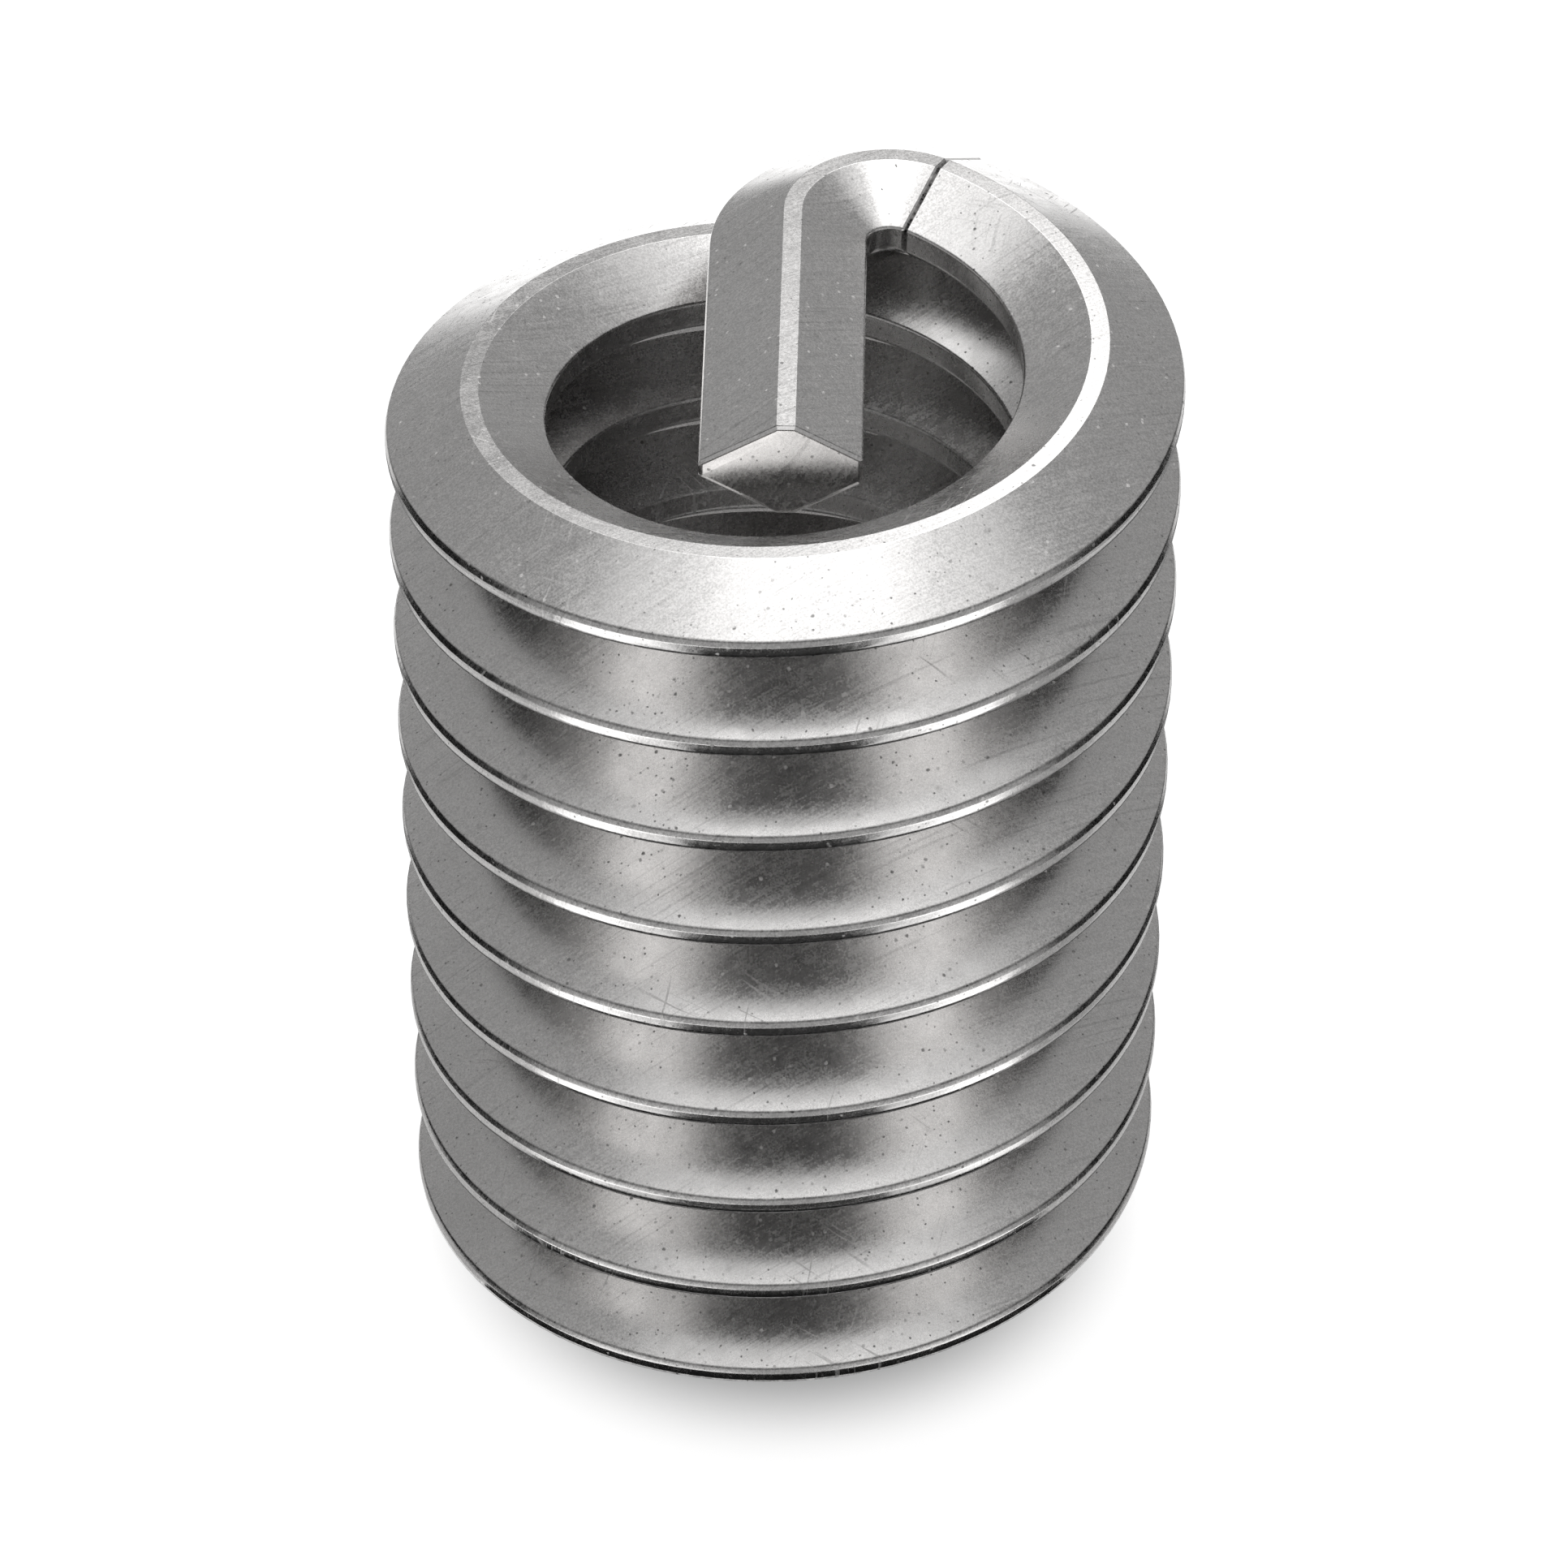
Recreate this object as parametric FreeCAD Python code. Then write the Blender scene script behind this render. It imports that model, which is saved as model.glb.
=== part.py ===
"""A helical thread insert, wound from one length of diamond-shaped wire.

The coil is right-handed and stands on its plain end. At the top the wire crosses a break-off notch, turns
in a tight bend and runs straight across the bore as the drive tang. The origin is on the coil's axis at
its lowest point, +Z runs up the axis, and the tang points along -Y.
"""

import FreeCAD
import Part
import math
import os
from FreeCAD import Base, Vector

# Driving dimensions, in millimetres and degrees
pitch = 1.27  # rise of the wire in one turn, which is 20 threads to the inch
turns = 9  # whole turns between the plain end and the notch
bore_diameter = 5.004  # between the inner crests, the minor diameter of the thread it forms
turn_gap = 0.162  # daylight between the lands of neighbouring turns
outer_crest = 0.182  # height of the narrow flat on the outer thread's crest
inner_crest = 0.3125  # height of the wider flat on the inner thread's crest
land_width = 0.194  # radial width of the flat on top of and under the wire
flank_angle = 30.0  # slope of each flank from the level, half of the thread angle
bend_radius = 0.243  # inside radius of the bend between the notch and the tang
notch_width = 0.07  # length of wire that the break-off notch takes
notch_depth = 0.035  # depth of the notch's V all round the wire
tang_gap = 0.60  # from the tang's tip to the bore's wall
end_bevel = 0.03  # bevel round both cut ends of the wire
patches_per_turn = 5  # the coil's surface is laid down in this many equal stretches a turn

# Sizes that follow from them
bore_radius = bore_diameter / 2
wire_height = pitch - turn_gap
slope = math.tan(math.radians(flank_angle))
outer_flank = (wire_height - outer_crest) / 2 / slope
inner_flank = (wire_height - inner_crest) / 2 / slope
wire_width = inner_flank + land_width + outer_flank
outer_radius = bore_radius + wire_width
patch_angle = 360.0 / patches_per_turn
patch_rise = pitch / patches_per_turn
patches_below_tang = turns * patches_per_turn - math.ceil(wire_height / 2 / patch_rise)

# The coil ends where a bend of this radius brings the tang's centre line across the axis
bend_centre_reach = math.hypot(bore_radius - bend_radius, notch_width)
bend_centre_lead = math.degrees(math.atan2(notch_width, bore_radius - bend_radius))
centred_angle = math.degrees(math.acos((bend_radius + wire_width / 2) / bend_centre_reach))
coil_end = centred_angle - bend_centre_lead
coil_start = coil_end - 360.0 * turns
top_height = wire_height / 2 + pitch * turns


def section_corners(inset=0.0):
    """Returns the wire's eight corners as (radius, height), going round from the top land's outer edge.

    An inset draws every side of the section in by the same amount.
    """
    half = wire_height / 2 - inset
    cut = inset / math.cos(math.radians(flank_angle))
    outer = outer_radius - inset
    inner = bore_radius + inset
    outer_half = outer_crest / 2 + inset * slope - cut
    inner_half = inner_crest / 2 + inset * slope - cut
    land_outer = outer - (half - outer_half) / slope
    land_inner = inner + (half - inner_half) / slope
    return [
        (land_outer, half),
        (outer, outer_half),
        (outer, -outer_half),
        (land_outer, -half),
        (land_inner, -half),
        (inner, -inner_half),
        (inner, inner_half),
        (land_inner, half),
    ]


def placed(corners, angle, height, advance=0.0):
    """Stands a section upright across the wire at an angle round the axis.

    The advance then moves it straight on along the wire's heading there.
    """
    turn = math.radians(angle)
    out = Vector(math.cos(turn), math.sin(turn), 0)
    ahead = Vector(-math.sin(turn), math.cos(turn), 0)
    return [out * r + ahead * advance + Vector(0, 0, height + z) for r, z in corners]


def polygon_wire(points):
    return Part.makePolygon(points + points[:1])


def straight_band(first, second):
    """Joins two placed sections by eight flat sides, which is also how a bevel or half a V is made."""
    faces = []
    for i in range(len(first)):
        j = (i + 1) % len(first)
        faces.append(Part.Face(Part.makePolygon([first[i], first[j], second[j], second[i], first[i]])))
    return faces


def helix_edge(corner):
    """One corner's path over a patch: a line drawn on the corner's own cylinder."""
    radius, height = corner
    surface = Part.Cylinder()
    surface.Radius = radius
    start = Base.Vector2d(0, height)
    end = Base.Vector2d(math.radians(patch_angle), height + patch_rise)
    return Part.Geom2d.Line2dSegment(start, end).toShape(surface)


def crest_face(radius, lower, upper):
    """A helical crest flat as a true patch of cylinder, between two heights at its start."""
    surface = Part.Cylinder()
    surface.Radius = radius
    sweep = math.radians(patch_angle)
    outline = [
        Base.Vector2d(0, lower),
        Base.Vector2d(sweep, lower + patch_rise),
        Base.Vector2d(sweep, upper + patch_rise),
        Base.Vector2d(0, upper),
    ]
    edges = []
    for i in range(len(outline)):
        line = Part.Geom2d.Line2dSegment(outline[i], outline[(i + 1) % len(outline)])
        edges.append(line.toShape(surface))
    return Part.Face(surface, Part.Wire(edges))


def coil_patch(round_bore):
    """The eight sides of the wire over one patch, starting at angle zero and height zero.

    The outer crest is round, and so is the inner crest wherever a screw can reach it.
    """
    corners = section_corners()
    paths = [helix_edge(corner) for corner in corners]
    faces = []
    for i in range(len(corners)):
        j = (i + 1) % len(corners)
        is_crest = corners[i][0] == corners[j][0]
        is_inner = corners[i][0] < bore_radius + wire_width / 2
        if is_crest and (round_bore or not is_inner):
            heights = sorted([corners[i][1], corners[j][1]])
            faces.append(crest_face(corners[i][0], *heights))
        else:
            faces.extend(Part.makeRuledSurface(paths[i], paths[j]).Faces)
    return Part.makeCompound(faces)


def coil_faces():
    """The coil's surface, from the plain end up to the notch, one patch after another."""
    open_patch = coil_patch(round_bore=True)
    covered_patch = coil_patch(round_bore=False)
    faces = []
    for k in range(turns * patches_per_turn):
        patch = (open_patch if k < patches_below_tang else covered_patch).copy()
        patch.rotate(Vector(0, 0, 0), Vector(0, 0, 1), coil_start + k * patch_angle)
        patch.translate(Vector(0, 0, wire_height / 2 + k * patch_rise))
        faces.extend(patch.Faces)
    return faces


def plain_end_faces():
    """The cut and bevelled end that the coil stands on."""
    cut_end = placed(section_corners(end_bevel), coil_start, wire_height / 2, -end_bevel)
    full_end = placed(section_corners(), coil_start, wire_height / 2)
    return [Part.Face(polygon_wire(cut_end))] + straight_band(cut_end, full_end)


def notch_faces():
    """The V all round the wire, where the tang is broken off once the insert is in."""
    first_lip = placed(section_corners(), coil_end, top_height)
    root = placed(section_corners(notch_depth), coil_end, top_height, notch_width / 2)
    second_lip = placed(section_corners(), coil_end, top_height, notch_width)
    return straight_band(first_lip, root) + straight_band(root, second_lip)


def bend_and_tang_faces():
    """The level bend, then the straight tang across the bore with its bevelled tip."""
    start = placed(section_corners(), coil_end, top_height, notch_width)
    turn = math.radians(coil_end)
    centre = Vector(math.cos(turn), math.sin(turn), 0) * (bore_radius - bend_radius)
    centre += Vector(-math.sin(turn), math.cos(turn), 0) * notch_width
    bend_angle = 180.0 - coil_end
    faces = list(polygon_wire(start).revolve(centre, Vector(0, 0, 1), bend_angle).Faces)

    tip_y = tang_gap - bore_radius
    corners = section_corners()
    bend_end = [Vector(centre.x - bend_radius - (r - bore_radius), centre.y, top_height + z) for r, z in corners]
    tang_end = [Vector(p.x, tip_y + end_bevel, p.z) for p in bend_end]
    inset_corners = section_corners(end_bevel)
    cut_end = [Vector(centre.x - bend_radius - (r - bore_radius), tip_y, top_height + z) for r, z in inset_corners]
    faces += straight_band(bend_end, tang_end)
    faces += straight_band(tang_end, cut_end)
    faces.append(Part.Face(polygon_wire(cut_end)))
    return faces


def thread_insert():
    """Sews the wire's skin into one closed solid."""
    skin = Part.makeShell(plain_end_faces() + coil_faces() + notch_faces() + bend_and_tang_faces())
    skin.sewShape()
    solid = Part.makeSolid(skin if skin.ShapeType == "Shell" else skin.Shells[0])
    if solid.Volume < 0:
        solid.reverse()
    return solid


def main():
    os.makedirs("parts", exist_ok=True)
    shape = thread_insert()
    shape.exportStep("parts/thread_insert.step")
    box = shape.BoundBox
    print("thread_insert valid", shape.isValid(), "closed", shape.isClosed(), "faces", len(shape.Faces))
    print("volume mm3", round(shape.Volume, 4), "outer diameter", round(2 * outer_radius, 4))
    print("box", [round(v, 4) for v in (box.XMin, box.YMin, box.ZMin, box.XMax, box.YMax, box.ZMax)])
    print("coil ends at", round(coil_end, 3), "degrees, height", round(top_height, 4))


main()
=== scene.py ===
"""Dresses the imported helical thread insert: a fine mesh of its wire, satin steel, a studio and a camera.

The wire is laid down ring by ring: up the coil, across the break-off notch, round the tight bend and along
the drive tang. Sizes are in millimetres and become metres only where a ring is placed.
"""

import math

import bpy
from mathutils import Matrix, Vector


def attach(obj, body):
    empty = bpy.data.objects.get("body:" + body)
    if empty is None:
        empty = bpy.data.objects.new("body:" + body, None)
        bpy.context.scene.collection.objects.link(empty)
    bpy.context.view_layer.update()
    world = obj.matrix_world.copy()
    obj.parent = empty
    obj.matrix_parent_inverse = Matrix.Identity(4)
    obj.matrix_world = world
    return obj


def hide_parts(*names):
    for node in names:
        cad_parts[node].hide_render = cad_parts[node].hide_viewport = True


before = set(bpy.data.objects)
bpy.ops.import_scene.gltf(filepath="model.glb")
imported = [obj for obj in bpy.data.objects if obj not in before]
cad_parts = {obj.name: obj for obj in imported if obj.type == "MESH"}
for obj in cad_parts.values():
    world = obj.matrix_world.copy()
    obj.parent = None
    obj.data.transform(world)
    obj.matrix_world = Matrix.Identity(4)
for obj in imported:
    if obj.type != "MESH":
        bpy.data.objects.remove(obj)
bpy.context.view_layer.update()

MM = 0.001

# The wire and its coil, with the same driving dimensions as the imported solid
PITCH = 1.27
TURNS = 9
BORE_RADIUS = 2.502
TURN_GAP = 0.162
OUTER_CREST = 0.182
INNER_CREST = 0.3125
LAND_WIDTH = 0.194
FLANK_ANGLE = math.radians(30)
BEND_RADIUS = 0.243
NOTCH_WIDTH = 0.07
NOTCH_DEPTH = 0.035
TANG_GAP = 0.60
END_BEVEL = 0.03

# What only shows close up: softened edges, dished ends and a line of painted shade behind the bevel of the
# tip
EDGE_BLEND = 0.008  # a crest's edge fades into what is beside it over this width
SMALLEST_EDGE = 0.1  # towards a cut end the crests' edges shrink to this share
LAND_ROUND = 0.015  # radius of the lands' edges
LIP_WIDTH = 0.02
LIP_HEIGHT = 0.006
SHADE_LINE_WIDTH = 0.012
SHADE_LINE_ON_BEVEL = 0.2  # share of the tip's bevel that the line of painted shade takes
TIP_SHADE_LINE = 0.8

# How strongly an edge is rubbed bright: real polish, and a painted highlight that lightens its colour
END_WEAR_AND_SHEEN = 1.0
LAND_WEAR_AND_SHEEN = 0.5
CREST_WEAR_AND_SHEEN = 0.1

# How finely the mesh follows the shape
LAND_STEPS = 2
RINGS_PER_TURN = 120
BEND_RINGS = 36
TANG_RINGS = 12

# The edges of a crest: how far each reaches along the flank and along the crest, how much it bows out, and
# its points from flank to crest as (share of the way, turn towards the flank's direction, rubbing, shade).
# Rubbing is 1 where an edge is rubbed bright, which is real polish with a painted highlight in its colour,
# and shade is 1 on the thin dark line along the crease, which is painted shade.
OUTER_UPPER_EDGE = (
    0.03, 0.066, 0.003,
    ((0, 0.9, 0, 0.2), (0.2, 0.65, 0, 0.6), (0.4, 0.55, 0.1, 0), (0.87, 0.48, 0.1, 0), (1, 0.2, 0.3, 0)),
)
INNER_UPPER_EDGE = (
    0.02, 0.025, 0.0,
    ((0, 1, 0, 0.3), (0.25, 0.73, 0, 0.7), (0.5, 0.5, 0.2, 0.1), (0.85, 0.4, 0.6, 0), (1, 0.2, 0.3, 0.2)),
)
INNER_LOWER_EDGE = (
    0.055, 0.055, 0.005,
    ((0, 0.87, 0, 0.3), (0.25, 0.73, 0, 0.5), (0.5, 0.5, 0, 0.3), (0.75, 0.27, 0.2, 0.1), (1, 0.14, 0.5, 0)),
)
OUTER_LOWER_EDGE = (
    0.014, 0.068, 0.0033,
    ((0, 0.5, 1, 1), (0.25, 0.42, 1, 0.9), (0.5, 0.26, 0.9, 0.4), (0.73, 0.09, 0.7, 0), (1, 0.03, 0.5, 0)),
)
CREST_EDGES = {
    (True, True): OUTER_UPPER_EDGE,
    (True, False): OUTER_LOWER_EDGE,
    (False, True): INNER_UPPER_EDGE,
    (False, False): INNER_LOWER_EDGE,
}

# The notch after its first lip, as (share of its width, share of its depth, painted shade at its root)
NOTCH_SHAPE = ((0.42, 0.84, 0.0), (0.5, 1.0, 0.9), (0.68, 0.64, 0.8), (0.8, 0.4, 0.0), (1.0, 0.0, 0.0))

# Sizes that follow
WIRE_HEIGHT = PITCH - TURN_GAP
SLOPE = math.tan(FLANK_ANGLE)
OUTER_FLANK = (WIRE_HEIGHT - OUTER_CREST) / 2 / SLOPE
INNER_FLANK = (WIRE_HEIGHT - INNER_CREST) / 2 / SLOPE
WIRE_WIDTH = INNER_FLANK + LAND_WIDTH + OUTER_FLANK
OUTER_RADIUS = BORE_RADIUS + WIRE_WIDTH
BEND_CENTRE_REACH = math.hypot(BORE_RADIUS - BEND_RADIUS, NOTCH_WIDTH)
BEND_CENTRE_LEAD = math.atan2(NOTCH_WIDTH, BORE_RADIUS - BEND_RADIUS)
COIL_END = math.acos((BEND_RADIUS + WIRE_WIDTH / 2) / BEND_CENTRE_REACH) - BEND_CENTRE_LEAD
COIL_START = COIL_END - 2 * math.pi * TURNS
TOP_HEIGHT = WIRE_HEIGHT / 2 + PITCH * TURNS
RISE = PITCH / (2 * math.pi)
UP = Vector((0, 0, 1))


def section_corners(inset=0.0):
    """The wire's eight corners as (radius, height), clockwise from the top land's outer edge."""
    half = WIRE_HEIGHT / 2 - inset
    cut = inset / math.cos(FLANK_ANGLE)
    outer = OUTER_RADIUS - inset
    inner = BORE_RADIUS + inset
    outer_half = OUTER_CREST / 2 + inset * SLOPE - cut
    inner_half = INNER_CREST / 2 + inset * SLOPE - cut
    land_outer = outer - (half - outer_half) / SLOPE
    land_inner = inner + (half - inner_half) / SLOPE
    return [
        Vector((land_outer, half)),
        Vector((outer, outer_half)),
        Vector((outer, -outer_half)),
        Vector((land_outer, -half)),
        Vector((land_inner, -half)),
        Vector((inner, -inner_half)),
        Vector((inner, inner_half)),
        Vector((land_inner, half)),
    ]


def land_edge(corner, behind, ahead):
    """A land's edge, rounded off in a few steps."""
    first = Vector((-behind.y, behind.x))
    last = Vector((-ahead.y, ahead.x))
    turn = first.angle(last)
    centre = corner - (first + last).normalized() * LAND_ROUND / math.cos(turn / 2)
    edge = []
    for k in range(LAND_STEPS + 1):
        share = k / LAND_STEPS
        outward = (first * math.sin((1 - share) * turn) + last * math.sin(share * turn)) / math.sin(turn)
        edge.append((centre + outward * LAND_ROUND, outward, LAND_WEAR_AND_SHEEN * math.sin(math.pi * share), 0.0))
    return edge


def crest_edge(corner, to_flank, to_crest, flank_out, crest_out, scale):
    """One edge of a crest, from the flank to the crest, scaled down towards the wire's cut ends."""
    is_outer = corner.x > BORE_RADIUS + WIRE_WIDTH / 2
    flank_reach, crest_reach, bow, shape = CREST_EDGES[is_outer, corner.y > 0]
    at_flank = corner + to_flank * flank_reach * scale
    at_crest = corner + to_crest * crest_reach * scale
    bevel_out = (flank_out + crest_out).normalized()
    edge = [(at_flank + to_flank * EDGE_BLEND * scale, flank_out, 0.0, 0.0)]
    for share, turn, wear_and_sheen, painted_shade in shape:
        point = at_flank.lerp(at_crest, share) + bevel_out * bow * scale * 4 * share * (1 - share)
        edge.append((point, crest_out.lerp(flank_out, turn).normalized(), wear_and_sheen, painted_shade))
    edge.append((at_crest + to_crest * EDGE_BLEND * scale, crest_out, CREST_WEAR_AND_SHEEN, 0.0))
    return edge


def soft_section(inset=0.0):
    """The section with every edge softened, as (point, outward direction, rubbing with a painted highlight,
    painted shade) all the way round.
    """
    corners = section_corners(inset)
    scale = max(SMALLEST_EDGE, 1 - inset / END_BEVEL)
    soft = []
    for i, corner in enumerate(corners):
        ahead = (corners[(i + 1) % len(corners)] - corner).normalized()
        behind = (corner - corners[i - 1]).normalized()
        first = Vector((-behind.y, behind.x))
        last = Vector((-ahead.y, ahead.x))
        # A flank meets a land at the flank's angle, and a crest at twice that angle
        if first.angle(last) < FLANK_ANGLE * 1.5:
            soft.extend(land_edge(corner, behind, ahead))
        elif abs(ahead.x) < abs(behind.x):
            soft.extend(crest_edge(corner, -behind, ahead, first, last, scale))
        else:
            soft.extend(reversed(crest_edge(corner, ahead, -behind, last, first, scale)))
    return soft


class Wire:
    """Collects the rings of the wire and the bands between them."""

    def __init__(self):
        self.points = []
        self.normals = []
        self.wear_and_sheen = []
        self.painted_shade = []
        self.band_is_flat = []

    def ring(self, base, across, heading, inset=0.0, rise=0.0, wear_and_sheen=0.0, painted_shade=0.0, flat_before=False):
        """Adds a section that stands across the wire.

        Base is where the section's axis is, in millimetres. The rubbing value marks the whole ring at least
        that much, lightening it as real polish with a painted highlight, and the shade value darkens its
        upper side at least that much as painted shade. Flat_before keeps the band before this ring sharp.
        """
        if self.points:
            self.band_is_flat.append(flat_before)
        points, normals = [], []
        for point, outward, point_wear_and_sheen, point_shade in soft_section(inset):
            points.append((base + across * point.x + UP * point.y) * MM)
            side = across * outward.x + UP * outward.y - heading * (outward.y * rise / point.x)
            normals.append(side.normalized())
            self.wear_and_sheen.append(max(point_wear_and_sheen, wear_and_sheen))
            self.painted_shade.append(max(point_shade, painted_shade if point.y > 0 else 0.0))
        self.points.append(points)
        self.normals.append(normals)

    def build(self, name):
        """Makes the closed mesh, with its shading directions worked out from the shape itself."""
        count = len(self.points[0])
        vertices = [p for ring in self.points for p in ring]
        normals = [n for ring in self.normals for n in ring]
        faces = []
        flat = []
        for i, is_flat in enumerate(self.band_is_flat):
            for j in range(count):
                k = (j + 1) % count
                faces.append((i * count + j, i * count + k, (i + 1) * count + k, (i + 1) * count + j))
                flat.append(is_flat)
        last = (len(self.points) - 1) * count
        faces.append(tuple(reversed(range(count))))
        faces.append(tuple(last + j for j in range(count)))
        flat += [True, True]
        mesh = bpy.data.meshes.new(name)
        mesh.from_pydata(vertices, [], faces)
        mesh.update()
        corner_normals = []
        for polygon, is_flat in zip(mesh.polygons, flat):
            polygon.use_smooth = True
            for v in polygon.vertices:
                corner_normals.append(polygon.normal if is_flat else normals[v])
        mesh.normals_split_custom_set(corner_normals)
        # The first attribute lightens rubbed edges, partly as a painted highlight, and the second darkens
        # creases as painted shade
        for label, values in (("wear_and_sheen", self.wear_and_sheen), ("painted_shade", self.painted_shade)):
            mesh.attributes.new(label, "FLOAT", "POINT").data.foreach_set("value", values)
        return mesh


def compass(angle):
    """The level directions outward and ahead at an angle round the coil's axis."""
    out = Vector((math.cos(angle), math.sin(angle), 0))
    ahead = Vector((-math.sin(angle), math.cos(angle), 0))
    return out, ahead


def thread_insert_mesh():
    wire = Wire()

    # The cut end that the coil stands on, with its edge bevelled
    out, ahead = compass(COIL_START)
    foot = UP * (WIRE_HEIGHT / 2)
    wire.ring(foot - ahead * (END_BEVEL - LIP_HEIGHT), out, ahead, END_BEVEL + LIP_WIDTH)
    wire.ring(foot - ahead * END_BEVEL, out, ahead, END_BEVEL, wear_and_sheen=END_WEAR_AND_SHEEN, flat_before=True)

    # The coil
    rings = TURNS * RINGS_PER_TURN
    for k in range(rings + 1):
        out, ahead = compass(COIL_START + (COIL_END - COIL_START) * k / rings)
        height = WIRE_HEIGHT / 2 + PITCH * TURNS * k / rings
        wire.ring(UP * height, out, ahead, rise=RISE, flat_before=k == 0)

    # The break-off notch, a sharp V all round, with painted shade at its root
    out, ahead = compass(COIL_END)
    top = UP * TOP_HEIGHT
    for along, depth, painted_shade in NOTCH_SHAPE:
        base = top + ahead * NOTCH_WIDTH * along
        wire.ring(base, out, ahead, NOTCH_DEPTH * depth, painted_shade=painted_shade, flat_before=True)

    # The bend, which turns the wire in towards the axis
    centre = top + out * (BORE_RADIUS - BEND_RADIUS) + ahead * NOTCH_WIDTH
    bend_angle = math.pi - COIL_END
    for k in range(1, BEND_RINGS + 1):
        out, ahead = compass(COIL_END + bend_angle * k / BEND_RINGS)
        wire.ring(centre - out * (BORE_RADIUS - BEND_RADIUS), out, ahead)

    # The tang, straight across the bore, with its edge bevelled at the tip
    bend_end = centre - out * (BORE_RADIUS - BEND_RADIUS)
    length = bend_end.y - (TANG_GAP - BORE_RADIUS) - END_BEVEL
    for k in range(1, TANG_RINGS + 1):
        wire.ring(bend_end + ahead * (length - SHADE_LINE_WIDTH) * k / TANG_RINGS, out, ahead)
    tip = bend_end + ahead * length
    # A line of painted shade runs round the wire just behind the tip's bevel
    wire.ring(tip, out, ahead, painted_shade=TIP_SHADE_LINE)
    for share in (SHADE_LINE_ON_BEVEL, 1.0):
        reach = END_BEVEL * share
        wire.ring(tip + ahead * reach, out, ahead, reach, wear_and_sheen=END_WEAR_AND_SHEEN, flat_before=True)
    dish = tip + ahead * (END_BEVEL - LIP_HEIGHT)
    wire.ring(dish, out, ahead, END_BEVEL + LIP_WIDTH, flat_before=True)
    return wire.build("thread_insert_wire")


SCRATCHES_PER_MM = 32.0
SCRATCH_SOFTNESS = 0.07  # how gently the noise rises from bare metal to a scratch
SPECK_CORE = 0.4  # share of a speck's radius that is as strong as its middle


class Nodes:
    """Small helper that adds and links shader nodes, with socket values given by name."""

    def __init__(self, tree):
        self.tree = tree

    def add(self, kind, settings=None, **values):
        node = self.tree.nodes.new(kind)
        for name, value in (settings or {}).items():
            setattr(node, name, value)
        for name, value in values.items():
            self.feed(node, name, value)
        return node

    def feed(self, node, name, value):
        """Sets or links a socket. The names i0 and i1 stand for a node's first and second socket."""
        socket = node.inputs[int(name[1:])] if name[0] == "i" and name[1:].isdigit() else node.inputs[name]
        if isinstance(value, bpy.types.NodeSocket):
            self.tree.links.new(value, socket)
        else:
            socket.default_value = value

    def math(self, operation, first, second=0.0, clamp=False):
        node = self.add("ShaderNodeMath", {"operation": operation, "use_clamp": clamp}, i0=first, i1=second)
        return node.outputs[0]

    def vector(self, operation, first, **values):
        return self.add("ShaderNodeVectorMath", {"operation": operation}, i0=first, **values).outputs[0]

    def remap(self, value, low, high, new_low=0.0, new_high=1.0):
        node = self.add("ShaderNodeMapRange", {"interpolation_type": "SMOOTHSTEP"})
        names = ("Value", "From Min", "From Max", "To Min", "To Max")
        for name, number in zip(names, (value, low, high, new_low, new_high)):
            self.feed(node, name, number)
        return node.outputs[0]

    def swing(self, field, spread, reach):
        """A noise field as a number from minus reach to reach, with a spread each way of its middle."""
        return self.remap(field, 0.5 - spread, 0.5 + spread, -reach, reach)

    def total(self, start, swings, marks):
        """A starting value with swings added to it, and marks, each a (mask, amount)."""
        for swing in swings:
            start = self.math("ADD", start, swing)
        for mask, amount in marks:
            start = self.math("ADD", start, self.math("MULTIPLY", mask, amount))
        return start

    def turned(self, coordinates, degrees, scale, tilt=0):
        """Coordinates turned about the vertical axis, tilted, then stretched."""
        angles = (math.radians(tilt), 0, math.radians(-degrees))
        turn = self.add("ShaderNodeMapping", {"vector_type": "POINT"}, Vector=coordinates, Rotation=angles)
        return self.vector("MULTIPLY", turn.outputs[0], i1=scale)

    def noise(self, coordinates, scale, detail=2.0, roughness=0.5):
        values = {"Vector": coordinates, "Scale": scale, "Detail": detail, "Roughness": roughness}
        return self.add("ShaderNodeTexNoise", **values).outputs["Fac"]

    def scratches(self, coordinates, degrees, length, tilt=0, threshold=0.71):
        """Thin, nearly straight lines that run one way, as a mask."""
        stretched = self.turned(coordinates, degrees, (1 / length, SCRATCHES_PER_MM, 1 / length), tilt)
        field = self.noise(stretched, scale=1.0, detail=0.0)
        return self.remap(field, threshold, threshold + SCRATCH_SOFTNESS)

    def warped(self, coordinates, per_mm, reach):
        """Coordinates pushed about a little, so that what is drawn on them comes out ragged."""
        push = self.add("ShaderNodeTexNoise", Vector=coordinates, Scale=per_mm, Detail=1.0).outputs["Color"]
        push = self.vector("SUBTRACT", push, i1=(0.5, 0.5, 0.5))
        return self.vector("ADD", coordinates, i1=self.vector("SCALE", push, Scale=reach))

    def specks(self, coordinates, per_mm, radius, share):
        """Round specks in a share of the cells, as a mask that is stronger in some than in others."""
        reach = radius * per_mm
        cells = self.add("ShaderNodeTexVoronoi", {"feature": "F1"}, Vector=coordinates, Scale=per_mm)
        colour = self.add("ShaderNodeSeparateColor", Color=cells.outputs["Color"])
        depth = self.remap(colour.outputs[0], 1 - share, 1.0)
        disc = self.remap(cells.outputs["Distance"], SPECK_CORE * reach, reach, 1.0, 0.0)
        return self.math("MULTIPLY", disc, depth)


STEEL_COLOUR = (0.600, 0.591, 0.585)
STEEL_ROUGHNESS = 0.26
BRUSH_STRETCH = (1.2, 34.0, 1.2)
BRUSH_DEPTH = 0.0005  # in millimetres

# How far the lines on the steel are turned about the coil's axis and tilted, in degrees
BRUSH_DIRECTION = 30
BRUSH_TILT = -20
STEEP_SCUFFS = 75
SLANTING_SCUFFS = -28


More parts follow.
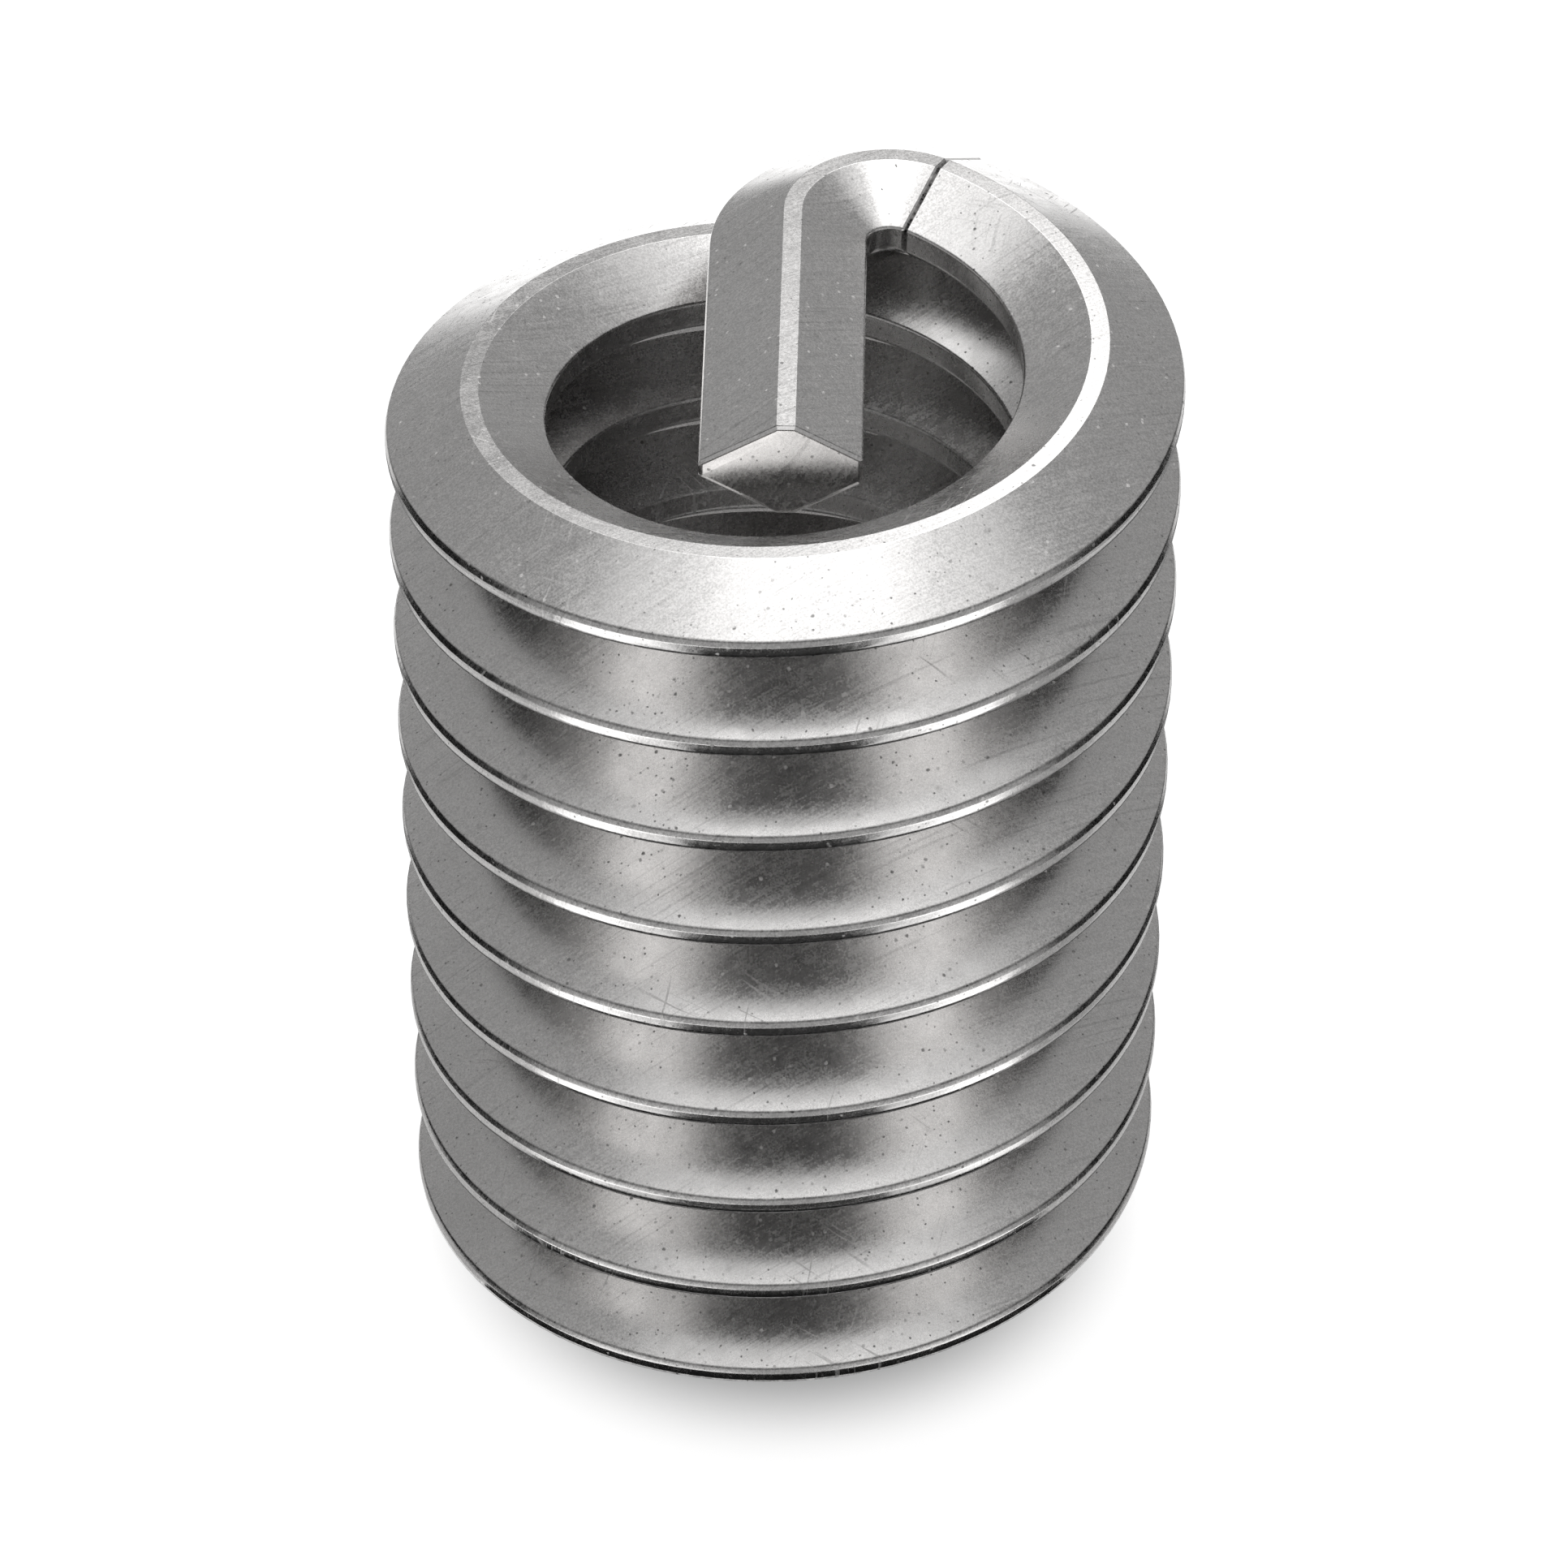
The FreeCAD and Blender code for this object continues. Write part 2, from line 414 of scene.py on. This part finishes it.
def stainless_steel():
    """Satin drawn stainless wire, with brush lines, hairlines, pits, dull specks, stains and a few scuffs, a
    painted highlight on rubbed edges and painted shade along creases.

    Noise and specks are drawn in millimetres, so a noise's scale is how many of its grains go in one.
    """
    material = bpy.data.materials.new("satin_stainless_steel")
    material.use_nodes = True
    tree = material.node_tree
    tree.nodes.clear()
    n = Nodes(tree)
    place = n.add("ShaderNodeTexCoord").outputs["Object"]
    mm = n.vector("SCALE", place, Scale=1000.0)

    # What the whole wire has
    brushed = n.turned(mm, BRUSH_DIRECTION, BRUSH_STRETCH, BRUSH_TILT)
    brush = n.noise(brushed, scale=1.0, detail=2.0, roughness=0.6)
    grain = n.noise(mm, scale=42.0, detail=1.0, roughness=0.6)
    mottle = n.noise(mm, scale=11.0, detail=3.0, roughness=0.7)
    clouds = n.noise(mm, scale=3.2, detail=2.0, roughness=0.6)

    # Marks in places
    hairlines = n.scratches(mm, BRUSH_DIRECTION, length=2.2, tilt=BRUSH_TILT, threshold=0.67)
    where_drawn = n.remap(n.noise(mm, scale=0.8), 0.42, 0.56)
    hairlines = n.math("MULTIPLY", hairlines, where_drawn)
    drift = n.warped(mm, per_mm=1.0, reach=0.2)
    steep = n.scratches(drift, STEEP_SCUFFS, length=0.9)
    slanting = n.scratches(drift, SLANTING_SCUFFS, length=1.1)
    scuffs = n.math("MAXIMUM", steep, slanting)
    where_scuffed = n.remap(n.noise(mm, scale=0.6, detail=1.0), 0.56, 0.66)
    scuffs = n.math("MULTIPLY", scuffs, where_scuffed)
    ragged = n.warped(mm, per_mm=30.0, reach=0.022)
    small_pits = n.specks(ragged, per_mm=13.0, radius=0.016, share=0.8)
    large_pits = n.specks(ragged, per_mm=5.0, radius=0.026, share=0.8)
    pits = n.math("MAXIMUM", small_pits, large_pits)
    stains = n.specks(ragged, per_mm=2.3, radius=0.055, share=0.7)
    dull = n.specks(ragged, per_mm=7.0, radius=0.025, share=0.8)

    # Rubbed edges, lightened partly as a painted highlight, and painted shade along the creases, made ragged
    wear_and_sheen = n.add("ShaderNodeAttribute", {"attribute_name": "wear_and_sheen"}).outputs["Fac"]
    painted_shade = n.add("ShaderNodeAttribute", {"attribute_name": "painted_shade"}).outputs["Fac"]
    how_shaded = n.remap(n.noise(mm, scale=9.0), 0.3, 0.7, 0.7, 1.2)
    painted_shade = n.math("MULTIPLY", painted_shade, how_shaded, clamp=True)

    # The colour's brightness, as a share of the steel's own
    swings = (n.swing(brush, 0.25, 0.05), n.swing(grain, 0.2, 0.12), n.swing(mottle, 0.15, 0.025))
    # Rubbed edges are lightened partly as a painted highlight, and creases are darkened as painted shade
    marks = ((pits, -0.54), (stains, -0.20), (hairlines, -0.15), (dull, 0.20), (wear_and_sheen, 0.18), (painted_shade, -0.90))
    brightness = n.total(1.0, swings, marks)
    colour = n.vector("SCALE", STEEL_COLOUR, Scale=brightness)

    # Roughness: satin, polished where edges have rubbed, dull in pits, specks and scuffs
    swings = (
        n.swing(brush, 0.3, 0.03),
        n.swing(grain, 0.2, 0.03),
        n.swing(mottle, 0.2, 0.02),
        n.swing(clouds, 0.15, 0.025),
    )
    rough = n.total(STEEL_ROUGHNESS, swings, ((pits, 0.34), (dull, 0.50), (scuffs, 0.22), (wear_and_sheen, -0.12)))

    # Relief: the brush lines alone
    height = n.math("MULTIPLY", brush, BRUSH_DEPTH)
    bump = n.add("ShaderNodeBump", Height=height, Distance=MM, Strength=1.0)

    surface = n.add("ShaderNodeBsdfPrincipled", Metallic=1.0, Roughness=rough, Normal=bump.outputs[0])
    n.feed(surface, "Base Color", colour)
    output = n.add("ShaderNodeOutputMaterial")
    tree.links.new(surface.outputs[0], output.inputs["Surface"])
    return material


MATT = 0.9  # roughness of the floor and the cards


def plain_material(name, grey):
    """A matt surface of one grey, with no gloss."""
    material = bpy.data.materials.new(name)
    material.use_nodes = True
    surface = material.node_tree.nodes["Principled BSDF"]
    surface.inputs["Base Color"].default_value = (grey, grey, grey, 1)
    surface.inputs["Roughness"].default_value = MATT
    surface.inputs["Specular IOR Level"].default_value = 0.0
    return material


def glowing_material(name, glow):
    """A panel that gives off light of its own."""
    material = bpy.data.materials.new(name)
    material.use_nodes = True
    surface = material.node_tree.nodes["Principled BSDF"]
    surface.inputs["Base Color"].default_value = (0, 0, 0, 1)
    surface.inputs["Specular IOR Level"].default_value = 0.0
    surface.inputs["Emission Color"].default_value = (1, 1, 1, 1)
    surface.inputs["Emission Strength"].default_value = glow
    return material


def white_floor_material(grey, whitening, bore_whitening):
    """A matt floor that keeps the shadow, made up to white where the camera or the metal sees it.

    The whitening fades out under the wire, which paints a shadow on the floor there, and only the bore's
    share of it is left inside the bore, so the bore's floor is painted darker.
    """
    material = plain_material("floor_white", grey)
    n = Nodes(material.node_tree)
    path = n.add("ShaderNodeLightPath")
    seen = n.math("ADD", path.outputs["Is Camera Ray"], path.outputs["Is Glossy Ray"])
    seen = n.math("ADD", seen, path.outputs["Is Transmission Ray"], clamp=True)
    place = n.add("ShaderNodeTexCoord").outputs["Object"]
    length = n.add("ShaderNodeVectorMath", {"operation": "LENGTH"}, i0=place)
    reach = length.outputs["Value"]
    # Painted shadow: less whitening under the wire and in the bore
    share = n.remap(reach, BORE_RADIUS * MM, OUTER_RADIUS * MM, bore_whitening, 1.0)
    seen = n.math("MULTIPLY", seen, share)
    surface = material.node_tree.nodes["Principled BSDF"]
    surface.inputs["Emission Color"].default_value = (1, 1, 1, 1)
    n.feed(surface, "Emission Strength", n.math("MULTIPLY", seen, whitening))
    return material


def stage_piece(name, rows, material):
    """A floor, card or panel from rows of points in millimetres, each row joined to the next."""
    mesh = bpy.data.meshes.new(name)
    count = len(rows[0])
    faces = []
    for i in range(len(rows) - 1):
        for j in range(count - 1):
            faces.append((i * count + j, i * count + j + 1, (i + 1) * count + j + 1, (i + 1) * count + j))
    mesh.from_pydata([Vector(p) * MM for row in rows for p in row], [], faces)
    piece = bpy.data.objects.new(name, mesh)
    piece.data.materials.append(material)
    bpy.context.scene.collection.objects.link(piece)
    return piece


# The insert itself
insert = bpy.data.objects.new("wire_coil", thread_insert_mesh())
bpy.context.scene.collection.objects.link(insert)
insert.data.materials.append(stainless_steel())
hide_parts("thread_insert")
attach(insert, "root")

# The camera, where the photograph was taken from
CAMERA_TARGET = Vector((0, 0, 6.257))
CAMERA_DISTANCE = 73.212
CAMERA_ELEVATION = math.radians(39.71)
CAMERA_AZIMUTH = math.radians(1.132)
CAMERA_LENS = 153.30

camera_data = bpy.data.cameras.new("camera")
camera_data.lens = CAMERA_LENS
camera_data.sensor_width = 36.0
camera_data.clip_start = 1 * MM
camera_data.clip_end = 2000 * MM
camera = bpy.data.objects.new("camera", camera_data)
back = Vector(
    (
        math.sin(CAMERA_AZIMUTH) * math.cos(CAMERA_ELEVATION),
        -math.cos(CAMERA_AZIMUTH) * math.cos(CAMERA_ELEVATION),
        math.sin(CAMERA_ELEVATION),
    )
)
camera.location = (CAMERA_TARGET + back * CAMERA_DISTANCE) * MM
camera.rotation_euler = (-back).to_track_quat("-Z", "Y").to_euler()
bpy.context.scene.collection.objects.link(camera)
bpy.context.scene.camera = camera

# The studio: a white floor, a soft light overhead that is brightest in the middle, and grey surroundings
FLOOR_SIZE = 400.0
FLOOR_GREY = 0.40
FLOOR_WHITENING = 0.82
BORE_WHITENING = 0.25
SKY_GREY = 0.41

stage_piece(
    "floor",
    [[(x * FLOOR_SIZE / 2, y * FLOOR_SIZE / 2, 0) for x in (-1, 1)] for y in (-1, 1)],
    white_floor_material(FLOOR_GREY, FLOOR_WHITENING, BORE_WHITENING),
)

world = bpy.data.worlds.new("surroundings")
world.use_nodes = True
world.node_tree.nodes["Background"].inputs["Color"].default_value = (SKY_GREY, SKY_GREY, SKY_GREY, 1)
bpy.context.scene.world = world


def softbox(name, width, front, back, height, glow):
    """A level lamp that looks down. Its edges are in millimetres, and its glow is its face's brightness."""
    data = bpy.data.lights.new(name, "AREA")
    data.shape = "RECTANGLE"
    data.size = width * MM
    data.size_y = (back - front) * MM
    data.energy = glow * math.pi * data.size * data.size_y
    lamp = bpy.data.objects.new(name, data)
    lamp.location = Vector((0, (front + back) / 2, height)) * MM
    bpy.context.scene.collection.objects.link(lamp)


softbox("softbox_core", width=25, front=-10, back=50, height=60, glow=1.9)
softbox("softbox_wide", width=60, front=-40, back=72, height=60.2, glow=0.68)

# Low round the insert lie and stand panels and cards that only its metal reflects
CARD_BLACK = plain_material("card_black", 0.02)
CARD_DARK = plain_material("card_dark", 0.05)
CARD_SHADE = plain_material("card_shade", 0.32)
CARD_GREY = plain_material("card_grey", 0.55)
CARD_WHITE = plain_material("card_white", 0.90)
PANEL_FRONT = glowing_material("panel_front", 2.1)
PANEL_HORIZON = glowing_material("panel_horizon", 1.9)
PANEL_BACK = glowing_material("panel_back", 1.8)
PANEL_CROWN = glowing_material("panel_crown", 1.6)

# Where they are, in millimetres: how high the lying ones are, where their edges are from the axis, and how
# far off the standing ones are
FOOT_LIFT = 0.3
LIFT = 0.4
AT_FOOT = 4.4
BEHIND_FOOT = 5
NEAR = 7.2
MIDDLE = 16
RIM_END = 18
BACK_END = 24
FAR = 110
HORIZON = 112
BEYOND = 114
STRIP_STEP = 12  # degrees that one flat piece of a curved strip takes


def hide_from_all_but_gloss(piece):
    piece.visible_camera = False
    piece.visible_shadow = False
    piece.visible_diffuse = False


def surround(name, from_degrees, to_degrees, near, far, material):
    """A curved strip between two edges given as (reach, height), with degrees counted from the front."""
    sweep = to_degrees - from_degrees
    steps = max(1, round(sweep / STRIP_STEP))
    turns = [math.radians(from_degrees + sweep * k / steps) for k in range(steps + 1)]
    rows = [[(math.sin(a) * reach, -math.cos(a) * reach, z) for a in turns] for reach, z in (near, far)]
    hide_from_all_but_gloss(stage_piece(name, rows, material))


surround("foot_card", -60, 60, (AT_FOOT, FOOT_LIFT), (NEAR, FOOT_LIFT), CARD_BLACK)
surround("front_card", -25, 25, (NEAR, LIFT), (FAR, LIFT), CARD_DARK)
surround("back_card", 124, 236, (BEHIND_FOOT, LIFT), (BACK_END, LIFT), CARD_SHADE)
surround("back_panel", 150, 210, (BACK_END, LIFT), (FAR, LIFT), PANEL_BACK)
surround("back_horizon", 150, 210, (HORIZON, 0), (HORIZON, 12), CARD_GREY)
for side, label, near_card in ((1, "right", CARD_GREY), (-1, "left", CARD_WHITE)):
    for name, first, last, near, far, material in (
        ("low_panel", 40, 60, (NEAR, LIFT), (MIDDLE, LIFT), PANEL_HORIZON),
        ("front_panel", 31, 56, (MIDDLE, LIFT), (FAR, LIFT), PANEL_FRONT),
        ("horizon_panel", 13, 56, (HORIZON, 0), (HORIZON, 24), PANEL_HORIZON),
        ("grey_card", 57, 78, (MIDDLE, LIFT), (FAR, LIFT), CARD_GREY),
        ("near_card", 60, 92, (NEAR, LIFT), (MIDDLE, LIFT), near_card),
        ("rim_card", 92, 124, (NEAR, LIFT), (RIM_END, LIFT), CARD_WHITE),
        ("heel_card", 60, 124, (AT_FOOT, LIFT), (NEAR, LIFT), CARD_WHITE),
        ("side_card", 78, 124, (RIM_END, LIFT), (FAR, LIFT), CARD_BLACK),
        ("side_flag", 72, 124, (BEYOND, 0), (BEYOND, 55), CARD_BLACK),
    ):
        start, end = sorted((side * first, side * last))
        surround(f"{label}_{name}", start, end, near, far, material)

# A small panel above the left shoulder lights the bore's top rim beside the notch
CROWN_SIDES = (-5.6, -1.9)
CROWN_FRONT_AND_BACK = (1.0, 4.8)
CROWN_HEIGHT = 20.5
crown_rows = [[(x, y, CROWN_HEIGHT) for x in CROWN_SIDES] for y in CROWN_FRONT_AND_BACK]
hide_from_all_but_gloss(stage_piece("crown_panel", crown_rows, PANEL_CROWN))

bpy.context.scene.view_settings.view_transform = "Standard"
